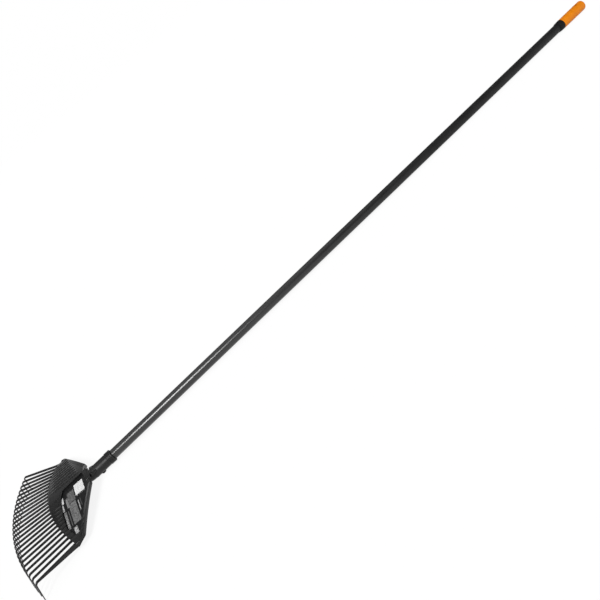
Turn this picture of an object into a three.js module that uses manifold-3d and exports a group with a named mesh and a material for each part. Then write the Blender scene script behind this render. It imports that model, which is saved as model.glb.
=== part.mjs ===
// Leaf rake: a moulded fan head with twenty-five hooked tines on a tubular shaft.
// Millimetres. X runs along the shaft towards the tines, Y across the head, Z up.
// Each piece is drawn about the shaft's axis, with x = 0 at the mouth of the head's socket.
// The whole rake then tips until its outer tines and its end cap lie on the ground.

import * as THREE from 'three';
import { mergeVertices } from 'three/addons/utils/BufferGeometryUtils.js';
import Module from 'manifold-3d';

const wasm = await Module();
wasm.setup();

// ---- Driving dimensions ----

const clearance = 0.3;
const facets = 48;

const shaft = {
  exposedLength: 1418.5,
  diameter: 21,
  wall: 0.8,
};

const socket = {
  length: 53.5,
  wall: 1.7,
  lipLength: 12,
  lipStep: 1,
  lipChamfer: 0.8,
  domeLength: 5,
  floor: 5,
  endGap: 3,
};

const screw = {
  fromMouth: 35,
  shankDiameter: 3.6,
  headDiameter: 8,
  headHeight: 1.4,
  bossDiameter: 11,
  bossStep: 0.8,
  reach: 8,
};

const collar = {
  length: 16,
  frontWall: 0.7,
  rearWall: 1.5,
  lipLength: 4,
};

const cap = {
  length: 79,
  overhang: 1.8,
  endRadius: 5,
  frontChamfer: 1,
  plugLength: 36,
  plugWall: 2,
  boreDepth: 46,
  holeDiameter: 8,
  holeFromEnd: 20,
};

const web = {
  thickness: 3,
  neckX: 39.5,
  neckHalfWidth: 12,
  notchX: 59.5,
  notchHalfWidth: 20,
  shoulderX: 56.5,
  shoulderHalfWidth: 39,
  sideMargin: 1.5,
  sideLength: 10,
  roundInset: 3,
  roundSetback: 7,
  cornerInset: 8,
  cornerSetback: 11,
  rimWidth: 4,
  rimDepth: 4.4,
  beamWidth: 7,
  beamDepth: 4.4,
  spineEndX: 107.5,
  spineEndRadius: 3,
  flangeWidth: 5,
  flangeDepth: 9,
  rise: 9.3,
  slope: 0.07,
  arch: 0.0005,
};

const fan = {
  tineCount: 25,
  pitch: THREE.MathUtils.degToRad(2.27),
  apexX: -193.5,
  rootX: 152,
  rootSweep: 28.5,
  rootHalfWidth: 163.4,
};

const tine = {
  bendX: 231.5,
  bendSweep: 32.6,
  bendHalfWidth: 202.3,
  bendHeight: 28.4,
  bendArch: 0.00021,
  width: 4.8,
  rootHeight: 3.4,
  outerRootDrop: 5.6,
  bendThickness: 3.4,
  hookThickness: 2,
  tipThickness: 1.4,
  bendRadius: 6,
  hookLength: 36,
  hookLean: THREE.MathUtils.degToRad(18),
  rootOverlap: 6,
};

const label = {
  thickness: 0.8,
  recessDepth: 4,
  panFloor: 2.4,
};

// ---- Sizes that follow from them ----

const shaftRadius = shaft.diameter / 2;
const shaftBoreRadius = shaftRadius - shaft.wall;
const socketBoreRadius = shaftRadius + clearance;
const socketRadius = socketBoreRadius + socket.wall;
const socketBoreEnd = socket.length - socket.floor;
const bossFaceZ = -socketRadius - screw.bossStep;
const capRadius = shaftRadius + cap.overhang;
const capFaceX = -shaft.exposedLength - collar.length;
const capEndX = capFaceX - cap.length;

// ---- Materials ----

const black = (lightness, roughness, metalness = 0) =>
  new THREE.MeshStandardMaterial({
    color: new THREE.Color(lightness, lightness, lightness),
    roughness,
    metalness,
  });

const headPlastic = black(0.045, 0.55);
const shaftCoating = black(0.05, 0.4, 0.2);
const collarPlastic = black(0.02, 0.5);
const screwSteel = black(0.09, 0.4, 0.8);
const labelFilm = black(0.06, 0.4);
const capPlastic = new THREE.MeshStandardMaterial({
  color: new THREE.Color(0.69, 0.19, 0.004),
  roughness: 0.45,
  metalness: 0,
});

// ---- Solids ----

function toSolid(geometry) {
  const bare = geometry.clone();
  bare.deleteAttribute('normal');
  bare.deleteAttribute('uv');
  const merged = mergeVertices(bare, 1e-4);
  return new wasm.Manifold(
    new wasm.Mesh({
      numProp: 3,
      vertProperties: new Float32Array(merged.attributes.position.array),
      triVerts: new Uint32Array(merged.index.array),
    })
  );
}

function toMesh(name, solid, material) {
  const { vertProperties, triVerts } = solid.getMesh();
  const geometry = new THREE.BufferGeometry();
  geometry.setAttribute('position', new THREE.BufferAttribute(vertProperties, 3));
  geometry.setIndex(new THREE.BufferAttribute(triVerts, 1));
  geometry.computeVertexNormals();
  const mesh = new THREE.Mesh(geometry, material);
  mesh.name = name;
  return mesh;
}

// A solid of revolution about the shaft's axis. Each profile point is [x, radius].
function turned(profile) {
  const points = profile.map(([x, radius]) => new THREE.Vector2(radius, x));
  const geometry = new THREE.LatheGeometry(points, facets);
  geometry.rotateZ(-Math.PI / 2);
  return toSolid(geometry);
}

function uprightCylinder(radius, x, bottom, top) {
  const geometry = new THREE.CylinderGeometry(radius, radius, top - bottom, facets / 2);
  geometry.rotateX(Math.PI / 2);
  geometry.translate(x, 0, (top + bottom) / 2);
  return toSolid(geometry);
}

const mix = THREE.MathUtils.lerp;

// ---- The head's surface and outline ----

const backHeight = (x, y) => web.rise + web.slope * (x - web.shoulderX) - web.arch * y * y;

const rootEdge = (y) => fan.rootX - fan.rootSweep * (y / fan.rootHalfWidth) ** 2;

// Distance from the fan's apex, at an angle, to a swept edge: x = centre - sweep (y / half)^2.
function reach(angle, centreX, sweep, halfWidth) {
  const curve = sweep / halfWidth ** 2;
  const run = centreX - fan.apexX;
  const cos = Math.cos(angle);
  const sin = Math.sin(angle);
  return (2 * run) / (cos + Math.sqrt(cos * cos + 4 * curve * sin * sin * run));
}

function tineAngle(index) {
  return (index - (fan.tineCount - 1) / 2) * fan.pitch;
}

// The web ends a little outside its outermost tines.
const outerAngle = tineAngle(fan.tineCount - 1);
const outerRoot = reach(outerAngle, fan.rootX, fan.rootSweep, fan.rootHalfWidth);
const sideY = outerRoot * Math.sin(outerAngle) + tine.width / 2 + web.sideMargin;
const sideX = rootEdge(sideY) - web.sideLength;

// The web's rear edge, as [distance from the middle, x]: a neck along the socket, a notch
// beside it, the inner shoulder, the rounded outer corner and the side.
const shoulderLine = [
  [0, web.neckX],
  [web.neckHalfWidth, web.neckX],
  [web.notchHalfWidth, web.notchX],
  [web.shoulderHalfWidth, web.shoulderX],
  [sideY - web.cornerInset, sideX - web.cornerSetback],
  [sideY - web.roundInset, sideX - web.roundSetback],
  [sideY, sideX],
];

// x at y along a line of [y, x] points, level before its first point and after its last.
function along(line, y) {
  const next = line.findIndex((point) => point[0] >= y);
  if (next === 0) return line[0][1];
  if (next < 0) return line[line.length - 1][1];
  const [y0, x0] = line[next - 1];
  const [y1, x1] = line[next];
  return mix(x0, x1, (y - y0) / (y1 - y0));
}

const shoulderEdge = (y) => along(shoulderLine, Math.abs(y));

// A plate that follows the head's arched back, between two edges given as x of y. Its
// upper and lower faces lie at the given heights over the back.
function archedPlate({ from, to, rear, front, top, bottom, stations = [] }) {
  const steps = 32;
  const even = Array.from({ length: steps + 1 }, (_, i) => mix(from, to, i / steps));
  const rows = [...even, ...stations].sort((a, b) => b - a);
  const section = new THREE.Shape([
    new THREE.Vector2(0, bottom),
    new THREE.Vector2(1, bottom),
    new THREE.Vector2(1, top),
    new THREE.Vector2(0, top),
  ]);
  const geometry = new THREE.ExtrudeGeometry(section, {
    depth: rows.length - 1,
    steps: rows.length - 1,
    bevelEnabled: false,
  });
  const position = geometry.attributes.position;
  for (let i = 0; i < position.count; i += 1) {
    const y = rows[Math.round(position.getZ(i))];
    const x = mix(rear(y), front(y), position.getX(i));
    position.setXYZ(i, x, y, backHeight(x, y) + position.getY(i));
  }
  return toSolid(geometry);
}

// ---- Head ----

// The label's panel in plan, as [x, y]: narrow beside the socket, and following the
// shoulder and the tines' roots across the left-hand wing.
const labelOutline = [
  [69.5, -22],
  [116.5, -14],
  [127.5, 27],
  [128, 112],
  [117, 146],
  [106.5, 146],
  [67, 44],
  [64, 30],
];

// A convex outline with every edge moved outwards by a margin.
function grown(outline, margin) {
  const count = outline.length;
  const edges = outline.map(([x, y], i) => {
    const [nextX, nextY] = outline[(i + 1) % count];
    const length = Math.hypot(nextX - x, nextY - y);
    const outX = (nextY - y) / length;
    const outY = (x - nextX) / length;
    return { outX, outY, offset: outX * x + outY * y + margin };
  });
  return edges.map((edge, i) => {
    const last = edges[(i + count - 1) % count];
    const cross = last.outX * edge.outY - last.outY * edge.outX;
    const x = (last.offset * edge.outY - last.outY * edge.offset) / cross;
    const y = (last.outX * edge.offset - last.offset * edge.outX) / cross;
    return new THREE.Vector2(x, y);
  });
}

// The space over the label's panel, grown outwards by a margin.
function labelSpace(margin, top, bottom) {
  const height = 60;
  const prism = new THREE.ExtrudeGeometry(new THREE.Shape(grown(labelOutline, margin)), {
    depth: height,
    bevelEnabled: false,
  });
  prism.translate(0, 0, -height / 2);
  const band = archedPlate({
    from: -sideY,
    to: sideY,
    rear: () => web.neckX,
    front: () => fan.rootX,
    top,
    bottom,
  });
  return band.intersect(toSolid(prism));
}

function headWeb() {
  const corners = shoulderLine.slice(0, -1).map((point) => point[0]);
  const band = (rear, front, depth) =>
    archedPlate({
      from: -sideY,
      to: sideY,
      rear,
      front,
      top: 0,
      bottom: -depth,
      stations: [...corners, ...corners.map((y) => -y)],
    });
  const plate = band(shoulderEdge, rootEdge, web.thickness);
  const rim = band(shoulderEdge, (y) => shoulderEdge(y) + web.rimWidth, web.rimDepth);
  const beam = band((y) => rootEdge(y) - web.beamWidth, rootEdge, web.beamDepth);
  const flange = archedPlate({
    from: sideY - web.flangeWidth,
    to: sideY,
    rear: (y) => rootEdge(y) - web.beamWidth,
    front: rootEdge,
    top: 0,
    bottom: -web.flangeDepth,
  });
  const spine = turned([
    [socket.length, 0],
    [socket.length, socketRadius],
    [web.spineEndX, web.spineEndRadius],
    [web.spineEndX, 0],
  ]);
  const openSide = archedPlate({
    from: -2 * socketRadius,
    to: 2 * socketRadius,
    rear: () => 0,
    front: () => web.spineEndX + web.beamWidth,
    top: 2 * socketRadius,
    bottom: -web.thickness / 2,
  });
  const panWall = web.thickness;
  const pan = labelSpace(panWall, 0, -label.recessDepth - label.panFloor);
  const recess = labelSpace(clearance, label.recessDepth, -label.recessDepth);
  const socketSpace = turned([
    [-1, 0],
    [-1, socketRadius + clearance],
    [socket.length + clearance, socketRadius + clearance],
    [socket.length + clearance, 0],
  ]);
  return plate
    .add(rim)
    .add(beam)
    .add(flange)
    .add(spine.subtract(openSide))
    .add(pan)
    .subtract(recess)
    .subtract(socketSpace);
}

function headSocket() {
  const lipRadius = socketRadius + socket.lipStep;
  const bodyEnd = socket.length - socket.domeLength;
  const shell = turned([
    [socketBoreEnd, 0],
    [socketBoreEnd, socketBoreRadius],
    [0, socketBoreRadius],
    [0, lipRadius - socket.lipChamfer],
    [socket.lipChamfer, lipRadius],
    [socket.lipLength - socket.lipChamfer, lipRadius],
    [socket.lipLength, socketRadius],
    [bodyEnd, socketRadius],
    [bodyEnd + socket.domeLength * 0.7, socketRadius - socket.domeLength * 0.3],
    [socket.length, socketRadius - socket.domeLength],
    [socket.length, 0],
  ]);
  const boss = uprightCylinder(
    screw.bossDiameter / 2, screw.fromMouth, bossFaceZ, -socketBoreRadius - clearance);
  const hole = uprightCylinder(
    screw.shankDiameter / 2 + clearance, screw.fromMouth, bossFaceZ - 1, 0);
  const bore = turned([
    [-1, 0],
    [-1, socketBoreRadius],
    [socketBoreEnd, socketBoreRadius],
    [socketBoreEnd, 0],
  ]);
  return shell.add(boss).subtract(bore).subtract(hole);
}

// ---- Tines ----

// The tine's centre line in its own upright plane: distance from the apex, and height.
function tineCentreLine(angle) {
  const rootDistance = reach(angle, fan.rootX, fan.rootSweep, fan.rootHalfWidth);
  const bendDistance = reach(angle, tine.bendX, tine.bendSweep, tine.bendHalfWidth);
  const rootY = rootDistance * Math.sin(angle);
  const rootX = fan.apexX + rootDistance * Math.cos(angle);
  const bendY = bendDistance * Math.sin(angle);
  const root = new THREE.Vector2(rootDistance, backHeight(rootX, rootY) - tine.rootHeight / 2);
  const bendZ = tine.bendHeight - tine.bendArch * bendY * bendY - tine.bendThickness / 2;
  const bend = new THREE.Vector2(bendDistance, bendZ);
  const along = bend.clone().sub(root).normalize();
  const down = new THREE.Vector2(Math.sin(tine.hookLean), -Math.cos(tine.hookLean));
  const turn = Math.acos(along.dot(down));
  const setback = tine.bendRadius * Math.tan(turn / 2);
  const start = root.clone().addScaledVector(along, -tine.rootOverlap);
  const arcStart = bend.clone().addScaledVector(along, -setback);
  const inward = new THREE.Vector2(along.y, -along.x);
  const centre = arcStart.clone().addScaledVector(inward, tine.bendRadius);
  const arcSteps = 8;
  const arc = Array.from({ length: arcSteps + 1 }, (_, i) =>
    arcStart.clone().rotateAround(centre, (-turn * i) / arcSteps));
  const tip = bend.clone().addScaledVector(down, tine.hookLength);
  return [start, ...arc, tip];
}

// The tine's side outline: its centre line with its thickness on both sides.
function tineOutline(angle, rootDrop) {
  const line = tineCentreLine(angle);
  const last = line.length - 1;
  const upper = [];
  const lower = [];
  line.forEach((point, i) => {
    const before = line[Math.max(i - 1, 0)];
    const after = line[Math.min(i + 1, last)];
    const along = after.clone().sub(before).normalize();
    const across = new THREE.Vector2(-along.y, along.x);
    const onArc = (i - 1) / (last - 2);
    let half = mix(tine.bendThickness, tine.hookThickness, onArc) / 2;
    if (i === 0) half = tine.rootHeight / 2;
    if (i === last) half = tine.tipThickness / 2;
    upper.push(point.clone().addScaledVector(across, half));
    lower.push(point.clone().addScaledVector(across, i === 0 ? -half - rootDrop : -half));
  });
  return [...lower, ...upper.reverse()];
}

function tineSolid(angle, rootDrop, rootCutter) {
  const outline = new THREE.Shape(tineOutline(angle, rootDrop));
  const geometry = new THREE.ExtrudeGeometry(outline, {
    depth: tine.width,
    bevelEnabled: false,
  });
  geometry.translate(0, 0, -tine.width / 2);
  geometry.rotateX(Math.PI / 2);
  geometry.rotateZ(angle);
  geometry.translate(fan.apexX, 0, 0);
  return toSolid(geometry).subtract(rootCutter);
}

// Everything behind the front face of the web, with the clearance to it.
function rootCutter() {
  const half = sideY + 2 * tine.width;
  const rise = 2 * tine.rootHeight;
  return archedPlate({
    from: -half,
    to: half,
    rear: (y) => rootEdge(y) - 4 * tine.rootOverlap,
    front: (y) => rootEdge(y) + clearance,
    top: rise,
    bottom: -2 * rise,
  });
}

// ---- Shaft, screw, collar, cap and label ----

function shaftTube() {
  const rear = capFaceX + clearance;
  const front = socketBoreEnd - socket.endGap;
  const tube = turned([
    [front, shaftBoreRadius],
    [rear, shaftBoreRadius],
    [rear, shaftRadius],
    [front, shaftRadius],
    [front, shaftBoreRadius],
  ]);
  const hole = uprightCylinder(
    screw.shankDiameter / 2 + clearance, screw.fromMouth, -2 * shaftRadius, 0);
  return tube.subtract(hole);
}

function fixingScrew() {
  const headTop = bossFaceZ - clearance;
  const head = uprightCylinder(
    screw.headDiameter / 2, screw.fromMouth, headTop - screw.headHeight, headTop);
  const shank = uprightCylinder(
    screw.shankDiameter / 2, screw.fromMouth, headTop - screw.headHeight / 2,
    headTop + screw.reach);
  return head.add(shank);
}

function endCollar() {
  const bore = shaftRadius + clearance;
  const frontX = -shaft.exposedLength;
  const rearX = capFaceX + clearance;
  return turned([
    [frontX, bore],
    [rearX, bore],
    [rearX, bore + collar.rearWall],
    [rearX + collar.lipLength, bore + collar.rearWall],
    [frontX, bore + collar.frontWall],
    [frontX, bore],
  ]);
}

function endCap() {
  const plugRadius = shaftBoreRadius - clearance;
  const boreRadius = plugRadius - cap.plugWall;
  const plugEnd = capFaceX + cap.plugLength;
  const boreEnd = capFaceX - cap.boreDepth;
  const cornerSteps = 6;
  const corner = Array.from({ length: cornerSteps + 1 }, (_, i) => {
    const turn = (i * Math.PI) / 2 / cornerSteps;
    const x = capEndX + cap.endRadius * (1 - Math.cos(turn));
    return [x, capRadius - cap.endRadius * (1 - Math.sin(turn))];
  });
  const body = turned([
    [capEndX, 0],
    ...corner,
    [capFaceX - cap.frontChamfer, capRadius],
    [capFaceX, capRadius - cap.frontChamfer],
    [capFaceX, plugRadius],
    [plugEnd, plugRadius],
    [plugEnd, boreRadius],
    [boreEnd, boreRadius],
    [boreEnd, 0],
  ]);
  const hole = uprightCylinder(
    cap.holeDiameter / 2, capEndX + cap.holeFromEnd, -2 * capRadius, 2 * capRadius);
  return body.subtract(hole);
}

function labelCard() {
  const underside = clearance - label.recessDepth;
  return labelSpace(0, underside + label.thickness, underside);
}

// ---- Assembly ----

const rake = new THREE.Group();
rake.add(toMesh('head_web', headWeb(), headPlastic));
rake.add(toMesh('head_socket', headSocket(), headPlastic));

const cutter = rootCutter();
for (let i = 0; i < fan.tineCount; i += 1) {
  const name = `tine_${String(i + 1).padStart(2, '0')}`;
  const rootDrop = i === fan.tineCount - 1 ? tine.outerRootDrop : 0;
  rake.add(toMesh(name, tineSolid(tineAngle(i), rootDrop, cutter), headPlastic));
}

rake.add(toMesh('shaft_tube', shaftTube(), shaftCoating));
rake.add(toMesh('fixing_screw', fixingScrew(), screwSteel));
rake.add(toMesh('end_collar', endCollar(), collarPlastic));
rake.add(toMesh('end_cap', endCap(), capPlastic));
rake.add(toMesh('label_card', labelCard(), labelFilm));

// The ground touches the outermost tine's lowest edge and the rear of the cap's round side.
function lowestPoint(mesh) {
  const position = mesh.geometry.attributes.position;
  const lowest = new THREE.Vector3(0, 0, Infinity);
  const point = new THREE.Vector3();
  for (let i = 0; i < position.count; i += 1) {
    point.fromBufferAttribute(position, i);
    if (point.z < lowest.z) lowest.copy(point);
  }
  return lowest;
}

const tip = lowestPoint(rake.getObjectByName('tine_01'));
const heel = new THREE.Vector3(capEndX + cap.endRadius, 0, -capRadius);
rake.rotation.y = Math.atan2(tip.z - heel.z, tip.x - heel.x);

const box = new THREE.Box3().setFromObject(rake, true);
const middle = box.getCenter(new THREE.Vector3());
rake.position.set(-middle.x, -middle.y, -box.min.z);

export default rake;
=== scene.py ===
"""Leaf rake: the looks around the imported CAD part, and the camera, floor and lights.

Every piece is drawn in millimetres about the shaft's axis, as in the CAD part: X runs
towards the tines with x = 0 at the mouth of the head's socket, Y across the head, Z up.
"""

import math

import bmesh
import bpy
import numpy as np
from mathutils import Matrix, Vector


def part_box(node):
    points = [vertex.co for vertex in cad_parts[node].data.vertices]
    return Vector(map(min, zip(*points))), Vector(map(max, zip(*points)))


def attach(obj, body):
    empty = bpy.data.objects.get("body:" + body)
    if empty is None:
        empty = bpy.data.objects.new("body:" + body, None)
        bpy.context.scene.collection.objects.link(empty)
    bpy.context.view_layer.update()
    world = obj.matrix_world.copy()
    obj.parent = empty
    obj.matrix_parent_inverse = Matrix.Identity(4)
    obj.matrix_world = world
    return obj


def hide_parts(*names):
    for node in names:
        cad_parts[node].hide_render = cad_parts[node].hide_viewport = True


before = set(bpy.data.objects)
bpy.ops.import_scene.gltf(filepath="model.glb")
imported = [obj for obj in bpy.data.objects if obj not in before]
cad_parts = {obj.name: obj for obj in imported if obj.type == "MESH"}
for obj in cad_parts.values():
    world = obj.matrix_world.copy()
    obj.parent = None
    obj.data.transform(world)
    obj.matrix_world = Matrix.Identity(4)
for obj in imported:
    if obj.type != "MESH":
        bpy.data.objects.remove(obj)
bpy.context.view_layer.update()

# ---- Sizes, in millimetres ----

SEGMENTS = 96
CLEARANCE = 0.3
SHAFT_WALL = 0.8

SOCKET_RADIUS = 12.5
SOCKET_BORE = 10.8
SOCKET_LENGTH = 53.5
SOCKET_BORE_END = 48.5
LIP_RADIUS = 13.5
LIP_LENGTH = 12
GROOVES_X = (3.2, 6.2, 9.2)
GROOVE_DEPTH = 0.55

SCREW_X = 35
BOSS_RADIUS = 5.5
BOSS_FACE = -13.3
SCREW_HEAD_RADIUS = 4
SCREW_HEAD_HEIGHT = 1.4
SHANK_RADIUS, SHANK_LENGTH = 1.8, 8
SHANK_OVERLAP = 0.5
SCREW_HOLE_RADIUS = 2.1

COLLAR_WALL, COLLAR_FRONT_WALL = 1.5, 0.7
PLUG_LENGTH, PLUG_WALL = 36, 2
CAP_BORE_DEPTH = 46
CAP_END_ROUND = 3.8
HANGING_HOLE_RADIUS, HANGING_HOLE_FLARE = 4, 1.2
HANGING_HOLE_FROM_END = 20

TINE_COUNT = 25
PITCH = math.radians(2.27)
APEX_X = -193.5
ROOT_X, ROOT_SWEEP, ROOT_HALF_WIDTH = 152, 28.5, 163.4
BEND_X, BEND_SWEEP, BEND_HALF_WIDTH = 231.5, 32.6, 202.3
BEND_HEIGHT, BEND_ARCH = 28.4, 0.00021
BEND_RADIUS = 6
BEND_CENTRE_DEPTH = 1.4
HOOK_LENGTH = 36
HOOK_LEAN = math.radians(18)
TINE_WIDTH, TINE_DEPTH = 4.8, 3.4
ROOT_WIDENING = 1.5
HOOK_NARROWING, TIP_NARROWING = 1.2, 1.2
HOOK_THINNING, TIP_THINNING = 1.5, 0.6
TIP_ROUND = 0.8
EDGE_ROUND = 0.6
TINE_OVERLAP = 5
OUTER_ROOT_DROP = 5.6

WEB_THICKNESS = 3
WEB_RISE, WEB_SLOPE, WEB_ARCH = 9.3, 0.07, 0.0005
NECK_X, NOTCH_X, SHOULDER_X = 39.5, 59.5, 56.5
SIDE_MARGIN, SIDE_LENGTH = 3.8, 10
REAR_ROUND, FRONT_ROUND, SIDE_ROUND = 0.4, 1.0, 1.4
RIM_HEIGHT, RIM_WIDTH = 2.3, 7.4
BEAM_DEPTH = 1.4
BEAD_LENGTH, BEAM_LENGTH = 8, 9
EDGES_LENGTH, BEAD_LENGTH_LIMIT = 19, 24
SPINE_START_X, SPINE_END_X = 41.5, 109.5
FLANGE_WIDTH, FLANGE_LENGTH = 5, 13
FLANGE_FRONT_DEPTH, FLANGE_REAR_DEPTH = 9, 4.4

RIB_PITCH = 12.33
RIB_HEIGHT = 1.3
RIB_WIDTH = 7
RIB_START_X, RIB_START_SWEEP, RIB_START_FADE = 70, 0.17, 7
RIB_END_FADE_X = (124, 147)
RIB_INNER_FADE_Y, RIB_OUTER_FADE_Y = (30, 34), (152, 158)

RECESS_DEPTH = 4
PAN_MARGIN, PAN_FLOOR = 3, 2.4
LABEL_THICKNESS = 0.8
LABEL_OUTLINE = [(69.5, -22), (116.5, -14), (127.5, 27), (128, 112), (117, 146),
                 (106.5, 146), (67, 44), (64, 30)]


# ---- Where the shaft's axis lies in the frame ----

tube_low, tube_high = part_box("shaft_tube")
SHAFT_RADIUS = (tube_high.y - tube_low.y) / 2 * 1000
rise = tube_high.z - tube_low.z - 2 * SHAFT_RADIUS / 1000
tilt = math.atan2(rise, tube_high.x - tube_low.x)
mouth_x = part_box("head_socket")[0].x + LIP_RADIUS / 1000 * math.sin(tilt)
mouth_z = tube_low.z + SHAFT_RADIUS / 1000 + (mouth_x - tube_low.x) * math.tan(tilt)
mouth = Vector((mouth_x, (tube_low.y + tube_high.y) / 2, mouth_z))
axis_frame = Matrix.Translation(mouth) @ Matrix.Rotation(-tilt, 4, "Y")
place = axis_frame @ Matrix.Scale(0.001, 4)


def shaft_x(node, end):
    """Where a node's rear (0) or front (1) end lies along the axis, in millimetres."""
    return (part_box(node)[end].x - mouth_x) / math.cos(tilt) * 1000


CAP_END = shaft_x("end_cap", 0)
CAP_RADIUS = (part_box("end_cap")[1].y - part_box("end_cap")[0].y) / 2 * 1000
COLLAR_REAR, COLLAR_FRONT = shaft_x("end_collar", 0), shaft_x("end_collar", 1)
CAP_FACE = COLLAR_REAR - CLEARANCE
TUBE_REAR, TUBE_FRONT = shaft_x("shaft_tube", 0), shaft_x("shaft_tube", 1)


# ---- Mesh building ----

def circle(x, radius):
    """A ring of points around the axis."""
    turns = np.linspace(0, 2 * math.pi, SEGMENTS, endpoint=False)
    return [(x, radius * math.sin(a), radius * math.cos(a)) for a in turns]


def solid(name, rings, loop=False):
    """A closed mesh through rings of equal length; loop joins the last ring to the first."""
    count = len(rings[0])
    vertices = [point for ring in rings for point in ring]
    faces = []
    spans = len(rings) if loop else len(rings) - 1
    for i in range(spans):
        a, b = i * count, (i + 1) % len(rings) * count
        for j in range(count):
            k = (j + 1) % count
            faces.append((a + j, a + k, b + k, b + j))
    if not loop:
        faces.append(tuple(range(count)))
        faces.append(tuple(range((len(rings) - 1) * count, len(rings) * count)))
    mesh = bpy.data.meshes.new(name)
    mesh.from_pydata(vertices, [], faces)
    bm = bmesh.new()
    bm.from_mesh(mesh)
    bmesh.ops.remove_doubles(bm, verts=bm.verts, dist=1e-5)
    bmesh.ops.recalc_face_normals(bm, faces=bm.faces)
    bm.to_mesh(mesh)
    bm.free()
    obj = bpy.data.objects.new(name, mesh)
    bpy.context.scene.collection.objects.link(obj)
    return obj


def rounded(points, radii, closed=False, steps=5):
    """The points with each corner replaced by an arc of its radius."""
    result = []
    for i, (point, radius) in enumerate(zip(points, radii)):
        end = not closed and i in (0, len(points) - 1)
        if radius == 0 or end:
            result.append(tuple(point))
            continue
        corner = Vector(point)
        back = Vector(points[i - 1]) - corner
        ahead = Vector(points[(i + 1) % len(points)]) - corner
        angle = back.angle(ahead)
        setback = min(radius / math.tan(angle / 2), back.length * 0.49, ahead.length * 0.49)
        arc = setback * math.tan(angle / 2)
        middle = (back.normalized() + ahead.normalized()).normalized()
        centre = corner + middle * (arc / math.sin(angle / 2))
        start = corner + back.normalized() * setback - centre
        finish = corner + ahead.normalized() * setback - centre
        sweep = start.angle_signed(finish)
        for step in range(steps + 1):
            turned = start.copy()
            turned.rotate(Matrix.Rotation(-sweep * step / steps, 2))
            result.append(tuple(centre + turned))
    return result


def lathe(name, profile, loop=False):
    """A solid of revolution through [x, radius] points."""
    return solid(name, [circle(x, max(radius, 1e-6)) for x, radius in profile], loop)


def upright(name, radius, x, bottom, top, flare=0.0):
    """An upright round bar; flare widens both ends like the mouth of a trumpet."""
    steps = 6
    turns = np.linspace(0, math.pi / 2, steps)
    levels = [(bottom + flare * math.sin(t), flare * (1 - math.sin(t))) for t in turns]
    if flare:
        ends = [(bottom - flare, flare), *levels]
        ends += [(top + bottom - z, extra) for z, extra in reversed(ends)]
    else:
        ends = [(bottom, 0.0), (top, 0.0)]
    turn = np.linspace(0, 2 * math.pi, SEGMENTS // 2, endpoint=False)
    rings = [
        [(x + (radius + extra) * math.cos(a), (radius + extra) * math.sin(a), z) for a in turn]
        for z, extra in ends
    ]
    return solid(name, rings)


def combine(base, tool, operation):
    """The base after a boolean operation with the tool, which is used up."""
    modifier = base.modifiers.new("combine", "BOOLEAN")
    modifier.operation = operation
    modifier.object = tool
    modifier.solver = "MANIFOLD"
    evaluated = base.evaluated_get(bpy.context.evaluated_depsgraph_get())
    mesh = bpy.data.meshes.new_from_object(evaluated)
    base.modifiers.clear()
    base.data = mesh
    bpy.data.objects.remove(tool)
    return base


def join(objects):
    """One mesh of several that don't touch."""
    bm = bmesh.new()
    for obj in objects:
        bm.from_mesh(obj.data)
    bm.to_mesh(objects[0].data)
    bm.free()
    for obj in objects[1:]:
        bpy.data.objects.remove(obj)
    return objects[0]


def settle(obj, material, nodes, sharp=32):
    """Puts a finished piece in the frame, smooth apart from its sharp edges."""
    obj.data.transform(place)
    obj.data.materials.clear()
    obj.data.materials.append(material)
    for polygon in obj.data.polygons:
        polygon.use_smooth = True
        polygon.material_index = 0
    obj.data.set_sharp_from_angle(angle=math.radians(sharp))
    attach(obj, "root")
    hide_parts(*nodes)
    return obj


def ease(value, low, high):
    """0 below low and 1 above high, with a smooth change between them."""
    t = min(max((value - low) / (high - low), 0), 1)
    return t * t * (3 - 2 * t)


def fullness(distance, radius):
    """Height of a quarter round at a distance from its start, as a share of its radius."""
    return math.sqrt(max(1 - (1 - min(distance / radius, 1)) ** 2, 0))


# ---- The head's surface and outline ----

def back_height(x, y):
    """Height of the web's upper face over the shaft's axis."""
    return WEB_RISE + WEB_SLOPE * (x - SHOULDER_X) - WEB_ARCH * y * y


def root_edge(y):
    """Where the web's front edge lies, from which the tines start."""
    return ROOT_X - ROOT_SWEEP * (y / ROOT_HALF_WIDTH) ** 2


def reach(angle, centre_x, sweep, half_width):
    """Distance from the fan's apex to a swept edge."""
    curve = sweep / half_width ** 2
    run = centre_x - APEX_X
    cos, sin = math.cos(angle), math.sin(angle)
    return 2 * run / (cos + math.sqrt(cos * cos + 4 * curve * sin * sin * run))


outer_angle = (TINE_COUNT - 1) / 2 * PITCH
outer_root = reach(outer_angle, ROOT_X, ROOT_SWEEP, ROOT_HALF_WIDTH)
SIDE_Y = outer_root * math.sin(outer_angle) + SIDE_MARGIN
SIDE_X = root_edge(SIDE_Y) - SIDE_LENGTH

shoulder = rounded(
    [(0, NECK_X), (12, NECK_X), (20, NOTCH_X), (39, SHOULDER_X),
     (SIDE_Y - 7, SIDE_X - SIDE_LENGTH), (SIDE_Y, SIDE_X)],
    [0, 4, 3, 5, 5, 0],
    steps=8,
)
shoulder_y, shoulder_x = zip(*shoulder)


def shoulder_edge(y):
    """Where the web's rear edge lies."""
    return float(np.interp(abs(y), shoulder_y, shoulder_x))


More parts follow.
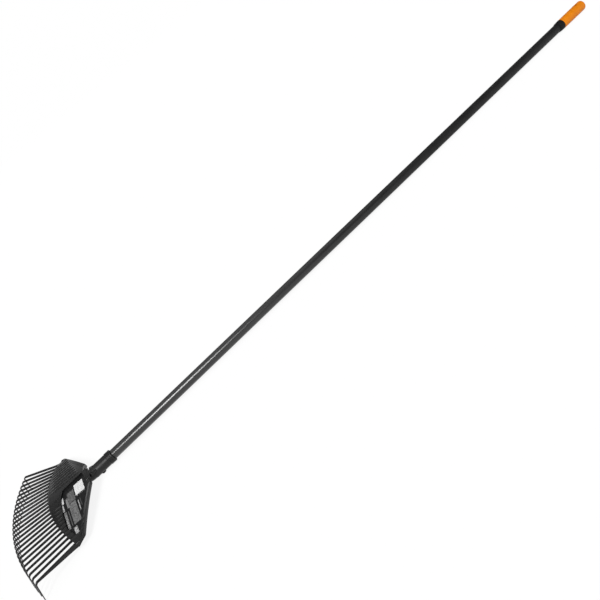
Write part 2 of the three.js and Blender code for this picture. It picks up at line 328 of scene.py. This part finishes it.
def rib_height(x, y):
    """Ribs that run parallel to the shaft over the upper face of each wing."""
    start = RIB_START_X + RIB_START_SWEEP * abs(y)
    window = ease(x, start, start + RIB_START_FADE) * (1 - ease(x, *RIB_END_FADE_X))
    window = window * ease(abs(y), *RIB_INNER_FADE_Y)
    phase = (abs(y) / RIB_PITCH + 0.5) % 1 - 0.5
    across = abs(phase) * RIB_PITCH / (RIB_WIDTH / 2)
    crown = 0.5 * (1 + math.cos(math.pi * min(across, 1)))
    return RIB_HEIGHT * window * crown * (1 - ease(abs(y), *RIB_OUTER_FADE_Y))


def web_plate():
    """The arched web, with a bead along its rear edge and a beam under its front edge."""
    rows = np.concatenate([
        np.linspace(-SIDE_Y, -SIDE_Y + 2, 7),
        np.arange(-SIDE_Y + 2.7, SIDE_Y - 2.4, 0.7),
        np.linspace(SIDE_Y - 2, SIDE_Y, 7),
    ])
    rear_steps = [0, 0.06, 0.2, 0.4, 1, 2, 3, 3.8, 4.4, 5, 5.6, 6.4, 7.2, 7.6, BEAD_LENGTH]
    front_steps = [BEAM_LENGTH, 8, 7, 6, 5, 4, 3, 2, 1.3, 0.8, 0.4, 0.12, 0]
    rings = []
    for y in rows:
        rear, front = shoulder_edge(y), root_edge(y)
        # Near the sides, where the web is short, the bead and the beam shrink to fit.
        fit = min(1, (front - rear) / EDGES_LENGTH)
        slope = abs(shoulder_edge(y + 0.2) - shoulder_edge(y - 0.2)) / 0.4
        stretch = math.sqrt(1 + min(slope, 2.5) ** 2)
        bead_fit = min(fit * stretch, (front - rear) / BEAD_LENGTH_LIMIT)
        inner = np.linspace(rear + BEAD_LENGTH * bead_fit, front - BEAM_LENGTH * fit, 46)[1:-1]
        xs = [rear + s * bead_fit for s in rear_steps] + list(inner)
        xs += [front - s * fit for s in front_steps]
        pinch = fullness(SIDE_Y - abs(y), SIDE_ROUND)
        top, bottom = [], []
        for x in xs:
            from_rear = (x - rear) / max(bead_fit, 1e-6)
            from_front = (front - x) / max(fit, 1e-6)
            rim = RIM_HEIGHT * (1 - min(from_rear / RIM_WIDTH, 1)) * ease(abs(y), 19, 24)
            edge = REAR_ROUND * (1 - fullness(from_rear, REAR_ROUND))
            edge += FRONT_ROUND * (1 - fullness(from_front, FRONT_ROUND))
            depth = WEB_THICKNESS + BEAM_DEPTH * (1 - ease(from_rear, 3.6, 5.2))
            depth += BEAM_DEPTH * (1 - ease(from_front, 6, 8))
            height = back_height(x, y)
            upper = height + rib_height(x, y) + rim - edge
            lower = height - depth + edge
            centre = (upper + lower) / 2
            half = (upper - lower) / 2 * (0.15 + 0.85 * pinch)
            top.append((x, y, centre + half))
            bottom.append((x, y, centre - half))
        rings.append(top + bottom[::-1])
    return solid("head", rings)


def grown(outline, margin):
    """A convex outline with every edge moved outwards by a margin."""
    edges = []
    for (x, y), (next_x, next_y) in zip(outline, outline[1:] + outline[:1]):
        length = math.hypot(next_x - x, next_y - y)
        out_x, out_y = (next_y - y) / length, (x - next_x) / length
        edges.append((out_x, out_y, out_x * x + out_y * y + margin))
    points = []
    for (ax, ay, a), (bx, by, b) in zip(edges[-1:] + edges[:-1], edges):
        cross = ax * by - ay * bx
        points.append(((a * by - ay * b) / cross, (ax * b - a * bx) / cross))
    return points


def arched_band(name, xs, ys, top, bottom):
    """A slab that follows the head's arched back, between two heights over it."""
    rings = []
    for y in ys:
        ring = [(x, y, back_height(x, y) + top) for x in xs]
        ring += [(x, y, back_height(x, y) + bottom) for x in xs[::-1]]
        rings.append(ring)
    return solid(name, rings)


def label_space(name, margin, top, bottom, corner):
    """The space over the label's panel, with round corners in plan."""
    outline = rounded(grown(LABEL_OUTLINE, margin), [corner] * len(LABEL_OUTLINE), closed=True)
    prism = solid("prism", [[(x, y, z) for x, y in outline] for z in (-60, 60)])
    band = arched_band(name, np.linspace(50, 145, 39), np.linspace(-34, 160, 79), top, bottom)
    return combine(band, prism, "INTERSECT")


# ---- Head ----

def tine_line(angle):
    """The tine's centre line, as distance from the apex and height, from root to tip."""
    root_distance = reach(angle, ROOT_X, ROOT_SWEEP, ROOT_HALF_WIDTH)
    bend_distance = reach(angle, BEND_X, BEND_SWEEP, BEND_HALF_WIDTH)
    root_x = APEX_X + root_distance * math.cos(angle)
    root_y = root_distance * math.sin(angle)
    bend_y = bend_distance * math.sin(angle)
    root = Vector((root_distance, back_height(root_x, root_y) - TINE_DEPTH / 2))
    bend = Vector((bend_distance, BEND_HEIGHT - BEND_ARCH * bend_y ** 2
                   - BEND_CENTRE_DEPTH))
    along = (bend - root).normalized()
    down = Vector((math.sin(HOOK_LEAN), -math.cos(HOOK_LEAN)))
    tip = bend + down * HOOK_LENGTH
    start = root - along * TINE_OVERLAP
    corner = rounded([start, bend, tip], [0, BEND_RADIUS, 0], steps=10)
    line = [Vector(point) for point in corner]
    line[0:1] = [root + along * d for d in (-TINE_OVERLAP, -2, 0, 1.5, 3, 5, 8, 14, 24, 40)]
    hook_start = line.pop(-2)
    end = line.pop()
    hook = end - hook_start
    line += [hook_start + hook * t for t in (0, 0.1, 0.2, 0.35, 0.5, 0.7, 0.88)]
    line += [end - hook.normalized() * d for d in (TIP_ROUND, 0.4, 0.15, 0.0)]
    return line


def tine(index):
    """A tine from inside the web to its tip, narrower and thinner past the bend."""
    angle = (index - (TINE_COUNT - 1) / 2) * PITCH
    line = tine_line(angle)
    out = (math.cos(angle), math.sin(angle))
    side = (-math.sin(angle), math.cos(angle))
    lengths = [0.0]
    for a, b in zip(line, line[1:]):
        lengths.append(lengths[-1] + (b - a).length)
    straight = lengths[-1] - HOOK_LENGTH
    root_drop = OUTER_ROOT_DROP if index == TINE_COUNT - 1 else 0
    rings = []
    for i, point in enumerate(line):
        before, after = line[max(i - 1, 0)], line[min(i + 1, len(line) - 1)]
        along = (after - before).normalized()
        across = Vector((-along.y, along.x))
        from_root = lengths[i] - TINE_OVERLAP
        from_tip = lengths[-1] - lengths[i]
        past_bend = ease(HOOK_LENGTH - from_tip, -7, 8)
        on_hook = min(max((HOOK_LENGTH - from_tip) / HOOK_LENGTH, 0), 1)
        width = TINE_WIDTH + ROOT_WIDENING * (1 - ease(from_root, 0, 6))
        width = width - HOOK_NARROWING * past_bend - TIP_NARROWING * on_hook
        depth = TINE_DEPTH - HOOK_THINNING * past_bend - TIP_THINNING * on_hook
        close = 1 - fullness(from_tip, TIP_ROUND)
        width, depth = width * (1 - 0.8 * close), depth * (1 - 0.8 * close)
        drop = root_drop * max(1 - max(from_root, 0) / straight, 0)
        radius = min(EDGE_ROUND, depth * 0.4, width * 0.4)
        corners = [(-width / 2, -depth / 2 - drop), (width / 2, -depth / 2 - drop),
                   (width / 2, depth / 2), (-width / 2, depth / 2)]
        ring = []
        for b, a in rounded(corners, [radius] * 4, closed=True, steps=3):
            spot = point + across * a
            ring.append((APEX_X + spot.x * out[0] + b * side[0],
                         spot.x * out[1] + b * side[1], spot.y))
        rings.append(ring)
    return solid(f"tine_{index}", rings)


def socket_shell():
    """The socket, with grooves around its lip and a domed end."""
    points = [(0, 0), (0, LIP_RADIUS)]
    radii = [0, 1.1]
    for x in GROOVES_X:
        points += [(x, LIP_RADIUS), (x + 0.2, LIP_RADIUS - GROOVE_DEPTH),
                   (x + 1.1, LIP_RADIUS - GROOVE_DEPTH), (x + 1.3, LIP_RADIUS)]
        radii += [0.3, 0, 0, 0.3]
    points += [(LIP_LENGTH, LIP_RADIUS), (LIP_LENGTH + 1.2, SOCKET_RADIUS),
               (SOCKET_LENGTH, SOCKET_RADIUS), (SOCKET_LENGTH, 0)]
    radii += [0.8, 1.0, 4.8, 0]
    return lathe("socket", rounded(points, radii, steps=7))


def crease():
    """The groove over the socket where its domed end meets the spine."""
    ring = lathe("crease", [(52.2, 20), (53.6, SOCKET_RADIUS - 2), (54.4, SOCKET_RADIUS - 2),
                            (55.8, 20)], loop=True)
    upper = arched_band("upper", (45, 60), np.linspace(-30, 30, 13), 40, -5)
    return combine(ring, upper, "INTERSECT")


def flange():
    """The deep outer end of the beam on the label's side, where the last tine starts."""
    rings = []
    for y in np.linspace(SIDE_Y - FLANGE_WIDTH, SIDE_Y - 0.2, 4):
        front = root_edge(y)
        rear = max(front - FLANGE_LENGTH, shoulder_edge(y) + 0.3)
        corners = [(rear, -0.8), (front - 0.2, -0.8),
                   (front - 0.2, -FLANGE_FRONT_DEPTH), (rear, -FLANGE_REAR_DEPTH)]
        rings.append([(x, y, back_height(x, y) + z) for x, z in corners])
    return solid("flange", rings)


def spine():
    """The ridge that carries the socket's round onto the web and dies out along it."""
    ridge = lathe("spine", rounded(
        [(SPINE_START_X, 0), (SPINE_START_X, SOCKET_RADIUS), (57.5, SOCKET_RADIUS - 1),
         (SPINE_END_X, 2.5), (SPINE_END_X, 0)], [0, 0, 12, 1.5, 0], steps=6))
    over_web = arched_band("over_web", np.linspace(25, 125, 12), np.linspace(-30, 30, 13),
                           40, -1.5)
    return combine(ridge, over_web, "DIFFERENCE")


def screw_hole(name):
    """The way through the boss and the tube's lower wall."""
    return upright(name, SCREW_HOLE_RADIUS, SCREW_X, -20, 0)


def build_head():
    """Web, panel, spine, socket, boss and tines as one moulding, with its bore and hole."""
    head = combine(web_plate(), flange(), "UNION")
    pan = label_space("pan", PAN_MARGIN, -0.6, -RECESS_DEPTH - PAN_FLOOR, 4)
    head = combine(head, pan, "UNION")
    head = combine(head, spine(), "UNION")
    recess = label_space("recess", CLEARANCE, 8, -RECESS_DEPTH, 2.5)
    head = combine(head, recess, "DIFFERENCE")
    head = combine(head, socket_shell(), "UNION")
    head = combine(head, crease(), "DIFFERENCE")
    boss = upright("boss", BOSS_RADIUS, SCREW_X, BOSS_FACE, -8)
    head = combine(head, boss, "UNION")
    head = combine(head, join([tine(i) for i in range(TINE_COUNT)]), "UNION")
    bore = lathe("bore", [(-5, 0), (-5, SOCKET_BORE + 6), (0.0, SOCKET_BORE + 0.9),
                          (0.9, SOCKET_BORE), (SOCKET_BORE_END, SOCKET_BORE),
                          (SOCKET_BORE_END, 0)])
    head = combine(head, bore, "DIFFERENCE")
    return combine(head, screw_hole("hole"), "DIFFERENCE")


# ---- Materials ----

def new_material(name):
    """A material with its node tree and its shader."""
    material = bpy.data.materials.new(name)
    material.use_nodes = True
    tree = material.node_tree
    return material, tree, tree.nodes["Principled BSDF"]


def link(tree, source, target):
    tree.links.new(source, target)


def noise_field(tree, coordinates, scale, detail, roughness=0.55, stretch=(1, 1, 1)):
    """Blotches about 1 / scale metres wide; most values lie between 0.3 and 0.7."""
    mapping = tree.nodes.new("ShaderNodeMapping")
    mapping.inputs["Scale"].default_value = stretch
    field = tree.nodes.new("ShaderNodeTexNoise")
    field.inputs["Scale"].default_value = scale
    field.inputs["Detail"].default_value = detail
    field.inputs["Roughness"].default_value = roughness
    link(tree, coordinates, mapping.inputs["Vector"])
    link(tree, mapping.outputs["Vector"], field.inputs["Vector"])
    return field.outputs["Fac"]


def ramp(tree, value, stops):
    """A colour for each value, blended between stops of (value, colour)."""
    node = tree.nodes.new("ShaderNodeValToRGB")
    elements = node.color_ramp.elements
    while len(elements) < len(stops):
        elements.new(0.5)
    for element, (position, colour) in zip(elements, stops):
        element.position = position
        element.color = (*colour, 1)
    link(tree, value, node.inputs["Fac"])
    return node.outputs["Color"]


def remap(tree, value, low, high, from_low=0.3, from_high=0.7):
    """The value's range from from_low to from_high, spread over low to high and clamped."""
    node = tree.nodes.new("ShaderNodeMapRange")
    node.inputs["From Min"].default_value = from_low
    node.inputs["From Max"].default_value = from_high
    node.inputs["To Min"].default_value = low
    node.inputs["To Max"].default_value = high
    link(tree, value, node.inputs["Value"])
    return node.outputs["Result"]


def math_node(tree, operation, a, b):
    """The operation on a and b, each a number or an output."""
    node = tree.nodes.new("ShaderNodeMath")
    node.operation = operation
    for socket, value in zip(node.inputs, (a, b)):
        if isinstance(value, (int, float)):
            socket.default_value = value
        else:
            link(tree, value, socket)
    return node.outputs["Value"]


def mix_colours(tree, factor, first, second):
    """The first colour where the factor is 0 and the second where it is 1."""
    node = tree.nodes.new("ShaderNodeMix")
    node.data_type = "RGBA"
    link(tree, factor, node.inputs["Factor"])
    for socket, colour in ((node.inputs[6], first), (node.inputs[7], second)):
        if isinstance(colour, tuple):
            socket.default_value = colour
        else:
            link(tree, colour, socket)
    return node.outputs[2]


def bump(tree, shader, height, strength, distance):
    """Tilts the surface by a height of up to a distance in metres."""
    node = tree.nodes.new("ShaderNodeBump")
    node.inputs["Strength"].default_value = strength
    node.inputs["Distance"].default_value = distance
    link(tree, height, node.inputs["Height"])
    link(tree, node.outputs["Normal"], shader.inputs["Normal"])


def coordinates_of(tree):
    """Places on the piece, in metres in the frame."""
    return tree.nodes.new("ShaderNodeTexCoord").outputs["Object"]


def position_of(tree, coordinates):
    """The X, Y and Z outputs of a place, in metres."""
    parts = tree.nodes.new("ShaderNodeSeparateXYZ")
    link(tree, coordinates, parts.inputs["Vector"])
    return parts.outputs


def coated(name, dark, light, roughness, grain, depth, specular=0.5, metallic=0.0):
    """A coloured surface with blotches, a fine grain and uneven gloss."""
    material, tree, shader = new_material(name)
    where = coordinates_of(tree)
    blotch = noise_field(tree, where, 38, detail=5)
    link(tree, ramp(tree, blotch, [(0.32, dark), (0.7, light)]), shader.inputs["Base Color"])
    scuff = noise_field(tree, where, 90, detail=6)
    link(tree, remap(tree, scuff, *roughness), shader.inputs["Roughness"])
    fine = noise_field(tree, where, grain, detail=3)
    bump(tree, shader, fine, 0.5, depth)
    shader.inputs["Metallic"].default_value = metallic
    shader.inputs["Specular IOR Level"].default_value = specular
    return material


def head_material():
    """Black plastic, satin over the web and tines and matter on the socket."""
    material = coated("head_plastic", (0.008, 0.008, 0.0082), (0.014, 0.014, 0.014),
                      roughness=(0, 0.08), grain=1400, depth=0.00004, specular=0.28)
    tree = material.node_tree
    shader = tree.nodes["Principled BSDF"]
    uneven = shader.inputs["Roughness"].links[0].from_socket
    x = position_of(tree, coordinates_of(tree))["X"]
    base = remap(tree, x, 0.38, 0.26, mouth_x + 0.052, mouth_x + 0.06)
    link(tree, math_node(tree, "ADD", uneven, base), shader.inputs["Roughness"])
    return material


def shaft_material():
    """Black powder coat: satin near the head, and matter towards the hand end."""
    material = coated("shaft_coating", (0.009, 0.009, 0.0093), (0.014, 0.014, 0.0143),
                      roughness=(0.5, 0.62), grain=1100, depth=0.00008, specular=0.15)
    tree = material.node_tree
    shader = tree.nodes["Principled BSDF"]
    shader.inputs["Coat Roughness"].default_value = 0.24
    x = position_of(tree, coordinates_of(tree))["X"]
    gloss = remap(tree, x, 0.05, 1.0, mouth_x - 0.95, mouth_x - 0.45)
    link(tree, gloss, shader.inputs["Coat Weight"])
    return material


def label_material():
    """A printed card: plain light and grey blocks and lines on a dark ground."""
    material, tree, shader = new_material("label_print")
    where = coordinates_of(tree)
    position = position_of(tree, where)
    x, y = position["X"], position["Y"]

    def block(x0, x1, y0, y1):
        """1 inside a rectangle given in millimetres from the socket's mouth."""
        sides = [
            math_node(tree, "GREATER_THAN", x, mouth_x + x0 / 1000),
            math_node(tree, "LESS_THAN", x, mouth_x + x1 / 1000),
            math_node(tree, "GREATER_THAN", y, y0 / 1000),
            math_node(tree, "LESS_THAN", y, y1 / 1000),
        ]
        inside = sides[0]
        for side in sides[1:]:
            inside = math_node(tree, "MULTIPLY", inside, side)
        return inside

    mottle = noise_field(tree, where, 420, detail=5, roughness=0.75, stretch=(1, 0.55, 1))
    paint = ramp(tree, mottle, [(0.35, (0.007, 0.007, 0.0075)), (0.65, (0.016, 0.016, 0.0165))])
    # Each mark has an area (x0, x1, y0, y1) and the darkest and lightest grey of its mottle.
    label_marks = [
        ((74, 94.5, -3.5, 37.5), (0.84, 0.88)),
        ((97, 112, 7, 46), (0.04, 0.22)),
        ((98, 113.5, 48, 115), (0.05, 0.28)),
        ((112.5, 117, 22, 56), (0.06, 0.4)),
        # Strips along the label's front edge, from light to mottled, then a mottled light patch
        # near its far end.
        ((121.5, 125.5, 9, 32), (0.6, 0.85)),
        ((123.5, 127, 35, 58), (0.12, 0.85)),
        ((121.5, 126.5, 62, 118), (0.03, 0.45)),
        ((110, 117, 122, 142), (0.06, 0.75)),
        ((92.3, 94, 56, 90), (0.35, 0.55)),
        ((88, 89, 54, 80), (0.09, 0.13)),
        ((116.5, 118, 66, 115), (0.08, 0.16)),
    ]
    label_marks += [((75 + 5 * i, 78 + 5 * i, 39.5, 41.5), (0.18, 0.4)) for i in range(4)]
    for area, (low, high) in label_marks:
        tint = ramp(tree, mottle, [(0.35, (low,) * 3), (0.65, (high,) * 3)])
        paint = mix_colours(tree, block(*area), paint, tint)
    link(tree, paint, shader.inputs["Base Color"])
    scuff = noise_field(tree, where, 120, detail=5)
    link(tree, remap(tree, scuff, 0.3, 0.42), shader.inputs["Roughness"])
    shader.inputs["Specular IOR Level"].default_value = 0.15
    bump(tree, shader, noise_field(tree, where, 900, detail=2), 0.3, 0.00005)
    return material


collar_plastic = coated("collar_plastic", (0.005, 0.005, 0.0052), (0.009, 0.009, 0.009),
                        roughness=(0.5, 0.6), grain=1500, depth=0.0001, specular=0.12)
cap_plastic = coated("cap_plastic", (0.60, 0.17, 0.0012), (0.68, 0.205, 0.002),
                     roughness=(0.42, 0.54), grain=1500, depth=0.0001, specular=0.2)
screw_steel = coated("screw_steel", (0.05, 0.05, 0.052), (0.09, 0.09, 0.092),
                     roughness=(0.28, 0.45), grain=1600, depth=0.00006, metallic=0.8)


# ---- Pieces ----

settle(
    build_head(), head_material(),
    ["head_web", "head_socket", *[f"tine_{i + 1:02d}" for i in range(TINE_COUNT)]],
)

tube_bore = SHAFT_RADIUS - SHAFT_WALL
tube_profile = rounded(
    [(TUBE_FRONT, tube_bore), (TUBE_REAR, tube_bore), (TUBE_REAR, SHAFT_RADIUS),
     (TUBE_FRONT, SHAFT_RADIUS)],
    [0.25] * 4, closed=True, steps=2)
shaft = lathe("shaft", tube_profile, loop=True)
shaft = combine(shaft, screw_hole("shaft_hole"), "DIFFERENCE")
settle(shaft, shaft_material(), ["shaft_tube"])

collar_bore = SHAFT_RADIUS + CLEARANCE
collar = lathe("collar", rounded(
    [(COLLAR_FRONT, collar_bore), (COLLAR_REAR, collar_bore),
     (COLLAR_REAR, collar_bore + COLLAR_WALL), (COLLAR_REAR + 4, collar_bore + COLLAR_WALL),
     (COLLAR_FRONT, collar_bore + COLLAR_FRONT_WALL)],
    [0.2, 0.2, 0.5, 1.2, 0.3], closed=True, steps=4), loop=True)
settle(collar, collar_plastic, ["end_collar"])

plug = tube_bore - CLEARANCE
cap_bore = plug - PLUG_WALL
cap = lathe("cap", rounded(
    [(CAP_END, 0), (CAP_END, CAP_RADIUS), (CAP_FACE, CAP_RADIUS), (CAP_FACE, plug),
     (CAP_FACE + PLUG_LENGTH, plug), (CAP_FACE + PLUG_LENGTH, cap_bore),
     (CAP_FACE - CAP_BORE_DEPTH, cap_bore), (CAP_FACE - CAP_BORE_DEPTH, 0)],
    [0, CAP_END_ROUND, 0.9, 0.3, 0.8, 0.5, 1.5, 0], steps=8))
hanging_hole = upright("cap_hole", HANGING_HOLE_RADIUS, CAP_END + HANGING_HOLE_FROM_END,
                       -CAP_RADIUS, CAP_RADIUS, flare=HANGING_HOLE_FLARE)
cap = combine(cap, hanging_hole, "DIFFERENCE")
settle(cap, cap_plastic, ["end_cap"])

head_top = BOSS_FACE - CLEARANCE
screw = upright("screw", SCREW_HEAD_RADIUS, SCREW_X, head_top - SCREW_HEAD_HEIGHT, head_top)
shank = upright("shank", SHANK_RADIUS, SCREW_X, head_top - SHANK_OVERLAP,
                head_top + SHANK_LENGTH)
screw = combine(screw, shank, "UNION")
settle(screw, screw_steel, ["fixing_screw"])

underside = CLEARANCE - RECESS_DEPTH
card = label_space("label", 0, underside + LABEL_THICKNESS, underside, 2)
settle(card, label_material(), ["label_card"])


# ---- Floor, light and camera ----

def floor_material():
    """White ground that takes faint shadows, and that the camera sees as nearly white."""
    material, tree, shader = new_material("floor")
    tree.nodes.remove(shader)
    diffuse = tree.nodes.new("ShaderNodeBsdfDiffuse")
    diffuse.inputs["Color"].default_value = (0.8, 0.8, 0.8, 1)
    glow = tree.nodes.new("ShaderNodeEmission")
    glow.inputs["Strength"].default_value = 1.05
    path = tree.nodes.new("ShaderNodeLightPath")
    seen = math_node(tree, "MAXIMUM", path.outputs["Is Camera Ray"],
                     math_node(tree, "MAXIMUM", path.outputs["Is Glossy Ray"],
                               path.outputs["Is Transmission Ray"]))
    both = tree.nodes.new("ShaderNodeMixShader")
    link(tree, math_node(tree, "MULTIPLY", seen, 0.84), both.inputs["Fac"])
    link(tree, diffuse.outputs[0], both.inputs[1])
    link(tree, glow.outputs[0], both.inputs[2])
    link(tree, both.outputs[0], tree.nodes["Material Output"].inputs["Surface"])
    return material


bpy.ops.mesh.primitive_plane_add(size=60, location=(0, 0, 0))
floor = bpy.context.object
floor.name = "floor"
floor.data.materials.append(floor_material())


def world_light():
    """A white backdrop; the light and the reflections from it dim towards the ceiling."""
    world = bpy.data.worlds.new("studio")
    bpy.context.scene.world = world
    world.use_nodes = True
    tree = world.node_tree
    where = tree.nodes.new("ShaderNodeTexCoord").outputs["Generated"]
    colour = ramp(tree, position_of(tree, where)["Z"], [
        (0.0, (1, 1, 1)),
        (0.19, (1, 1, 1)),
        (0.34, (0.06, 0.06, 0.06)),
        (1.0, (0.04, 0.04, 0.04)),
    ])
    seen = tree.nodes.new("ShaderNodeLightPath").outputs["Is Camera Ray"]
    shown = mix_colours(tree, seen, colour, (1, 1, 1, 1))
    link(tree, shown, tree.nodes["Background"].inputs["Color"])


def sun(name, towards, strength, angle):
    """A soft lamp far away in a direction, as wide as an angle in degrees."""
    light = bpy.data.lights.new(name, "SUN")
    light.energy = strength
    light.angle = math.radians(angle)
    obj = bpy.data.objects.new(name, light)
    bpy.context.scene.collection.objects.link(obj)
    obj.rotation_euler = Vector(towards).to_track_quat("Z", "Y").to_euler()


world_light()
sun("key", (0.34, 0.66, 0.70), 2.7, 20)
sun("top", (0, -0.2, 1), 0.8, 70)

# The camera's place is in metres from the socket's mouth, in the shaft's frame.
CAMERA_PLACE = Vector((-0.23474, 1.25514, 0.56408))
HEADING, PITCH_DOWN, ROLL = math.radians(-101.93), math.radians(-25.33), math.radians(-38.95)
LENS = 38.93

forward = Vector((math.cos(PITCH_DOWN) * math.cos(HEADING),
                  math.cos(PITCH_DOWN) * math.sin(HEADING), math.sin(PITCH_DOWN)))
level = forward.cross(Vector((0, 0, 1))).normalized()
upward = level.cross(forward)
picture_right = level * math.cos(ROLL) + upward * math.sin(ROLL)
picture_up = upward * math.cos(ROLL) - level * math.sin(ROLL)
turn = Matrix((picture_right, picture_up, -forward)).transposed().to_4x4()
camera_data = bpy.data.cameras.new("camera")
camera_data.lens = LENS
camera_data.sensor_width = 36
camera = bpy.data.objects.new("camera", camera_data)
bpy.context.scene.collection.objects.link(camera)
camera.matrix_world = axis_frame @ Matrix.Translation(CAMERA_PLACE) @ turn
bpy.context.scene.camera = camera

bpy.context.scene.view_settings.view_transform = "Standard"
